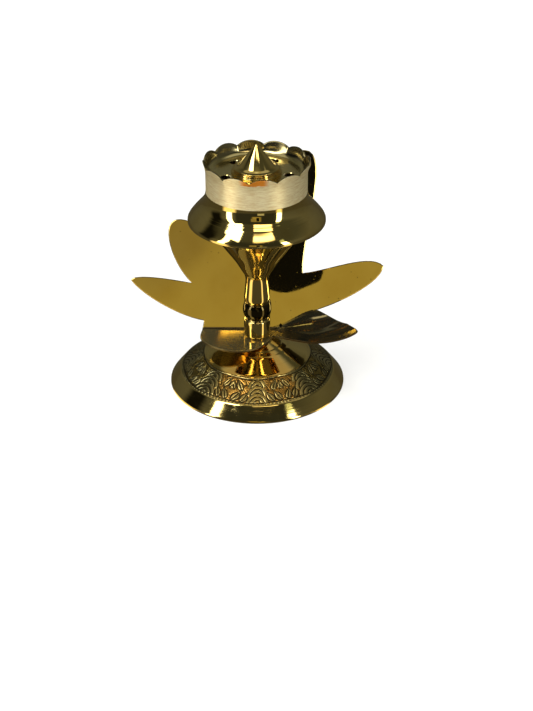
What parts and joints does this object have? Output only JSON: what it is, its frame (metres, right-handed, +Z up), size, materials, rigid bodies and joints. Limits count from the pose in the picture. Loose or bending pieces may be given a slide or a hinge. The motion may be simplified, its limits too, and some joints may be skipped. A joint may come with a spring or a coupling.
{
  "type": "incense stick stand",
  "caption": "Turned brass incense-stick stand: hollow cast foot, bent leaf backplate, slim stem with a dished head, and a scalloped cup with a pierced floor and a cone finial.",
  "frame": {"origin": "centre of the ring that the foot stands on, on the stem's axis", "axes": "+Z up along the stem's axis; -Y is the front, +Y is behind, where the leaf rises; +X is to the right seen from the front"},
  "size_m": [0.0868, 0.06, 0.0868],
  "materials": {
    "cast_brass": "cast and turned, polished, with a chased band",
    "sheet_brass": "polished sheet with dark cut edges",
    "turned_brass": "turned and polished",
    "satin_brass": "satin lathe-brushed wall over a polished skirt",
    "fastener_brass": "plain machined"
  },
  "bodies": {
    "base": {"foot": "cast_brass"},
    "leaf": {"leaf_plate": "sheet_brass"},
    "column": {"stem": "turned_brass", "foot_stud": "fastener_brass"},
    "washer": {"foot_washer": "fastener_brass"},
    "nut": {"foot_nut": "fastener_brass"},
    "bowl": {"cup": "satin_brass"},
    "collar": {"finial_collar": "turned_brass"},
    "finial": {"cone_finial": "turned_brass"}
  },
  "joints": [
    {"name": "leaf_swivel", "type": "hinge", "parent": "base", "child": "leaf", "pos_m": [0, 0, 0.0166], "axis": [0, 0, 1], "continuous": true},
    {"name": "stem_turn", "type": "hinge", "parent": "base", "child": "column", "pos_m": [0, 0, 0.017], "axis": [0, 0, 1], "continuous": true},
    {"name": "nut_drop", "type": "slide", "parent": "column", "child": "washer", "axis": [0, 0, -1], "range_m": [0, 0.0049]},
    {"name": "nut_turn", "type": "hinge", "parent": "washer", "child": "nut", "pos_m": [0, 0, 0.0077], "axis": [0, 0, -1], "range_deg": [0, 2520]},
    {"name": "cup_lift", "type": "slide", "parent": "column", "child": "bowl", "axis": [0, 0, 1], "range_m": [0, 0.02]},
    {"name": "finial_lift", "type": "slide", "parent": "bowl", "child": "collar", "axis": [0, 0, 1], "range_m": [0, 0.0077]},
    {"name": "finial_turn", "type": "hinge", "parent": "collar", "child": "finial", "pos_m": [0, 0, 0.0785], "axis": [0, 0, 1], "range_deg": [0, 3960]}
  ],
  "couplings": [
    {"joint": "nut_turn", "follows": "nut_drop", "rad_per_m": 8976},
    {"joint": "finial_turn", "follows": "finial_lift", "rad_per_m": 8976}
  ]
}
